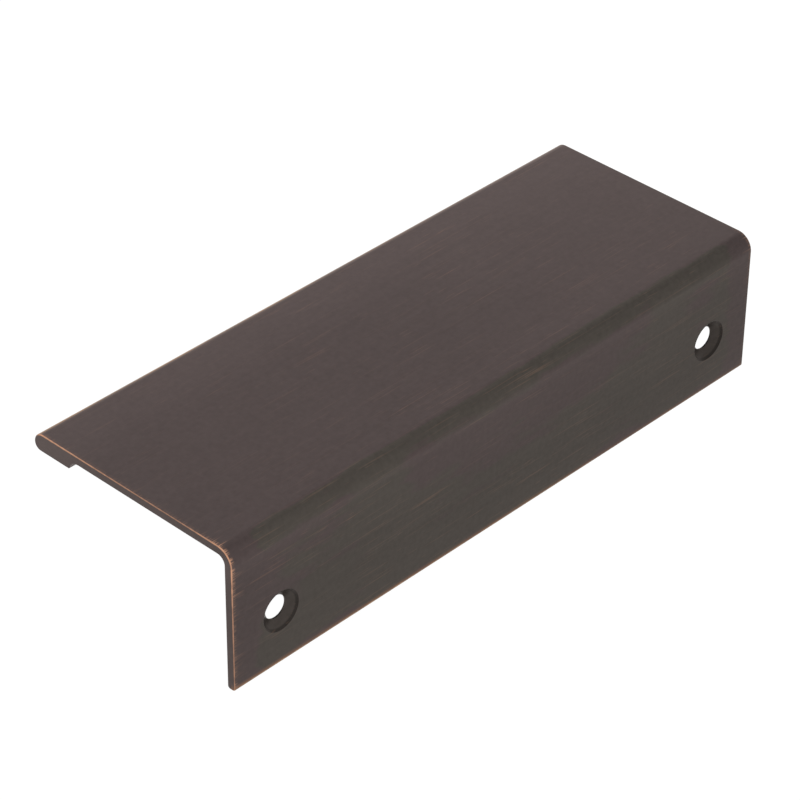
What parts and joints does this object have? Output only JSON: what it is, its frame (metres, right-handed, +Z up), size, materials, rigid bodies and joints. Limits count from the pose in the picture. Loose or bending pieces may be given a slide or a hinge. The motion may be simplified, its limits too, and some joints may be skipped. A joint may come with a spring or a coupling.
{
  "type": "edge pull",
  "caption": "Cabinet edge pull: a bent metal section with a rounded finger lip and a rear flange with countersunk screw holes, in dark bronze with copper edges.",
  "frame": {"origin": "midway between the two screw holes, on the flange's inner face that seats against the back of the door or drawer front", "axes": "+X along the pull, +Y out of the flange's back face towards the screw heads, +Z up, square to the top plate; the lip points to -Y"},
  "size_m": [0.115, 0.0418, 0.0252],
  "materials": {
    "dark_bronze": "brushed along its length, copper plated, chemically darkened to a dark brown and relieved to copper on its edges"
  },
  "bodies": {
    "root": {"edge_pull": "dark_bronze"}
  },
  "joints": []
}
